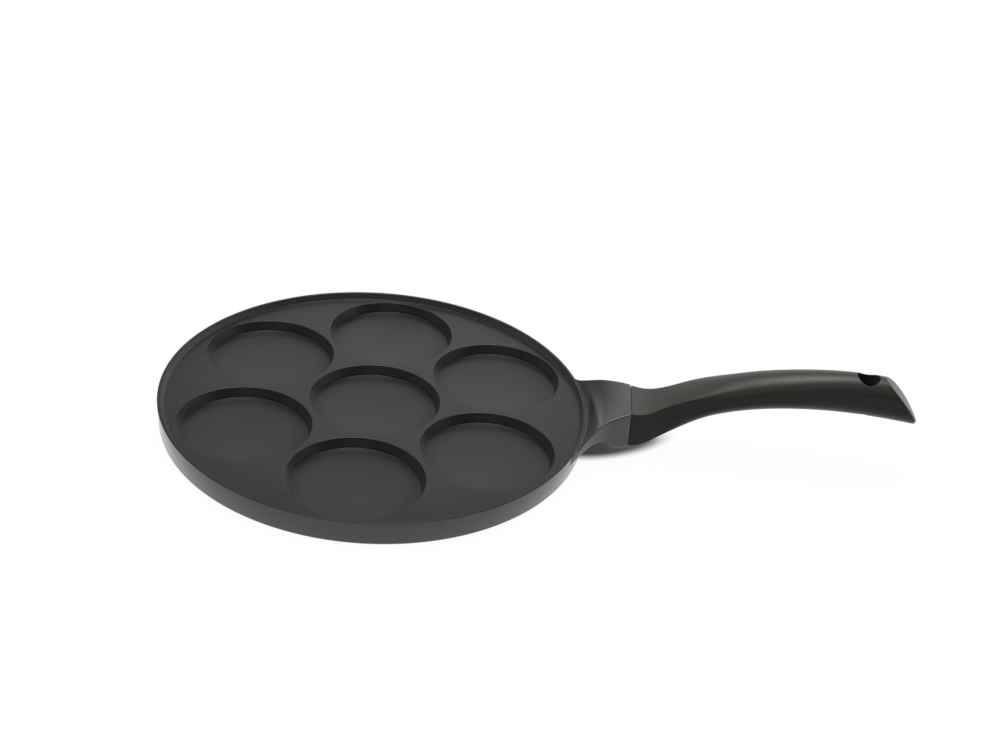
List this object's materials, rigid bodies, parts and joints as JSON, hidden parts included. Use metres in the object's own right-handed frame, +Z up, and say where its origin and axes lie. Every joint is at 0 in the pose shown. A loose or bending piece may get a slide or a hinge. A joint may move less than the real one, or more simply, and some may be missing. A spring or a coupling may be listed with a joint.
{
  "type": "frying pan",
  "caption": "Low round cast pan with shallow round wells for small pancakes, a flared cast bracket and a curved moulded handle with a hanging hole.",
  "frame": {"origin": "centre of the base's flat bottom face, on the surface that the pan stands on", "axes": "+Z up through the pan's axis, +X from the pan's axis along the handle, +Y to the left seen along the handle"},
  "size_m": [0.4563, 0.26, 0.0663],
  "materials": {
    "coated_casting": "satin",
    "handle_moulding": "satin",
    "fastener_steel": "satin"
  },
  "bodies": {
    "root": {"pan_body": "coated_casting", "handle": "handle_moulding", "handle_screw": "fastener_steel", "screw_washer": "fastener_steel"}
  },
  "joints": []
}
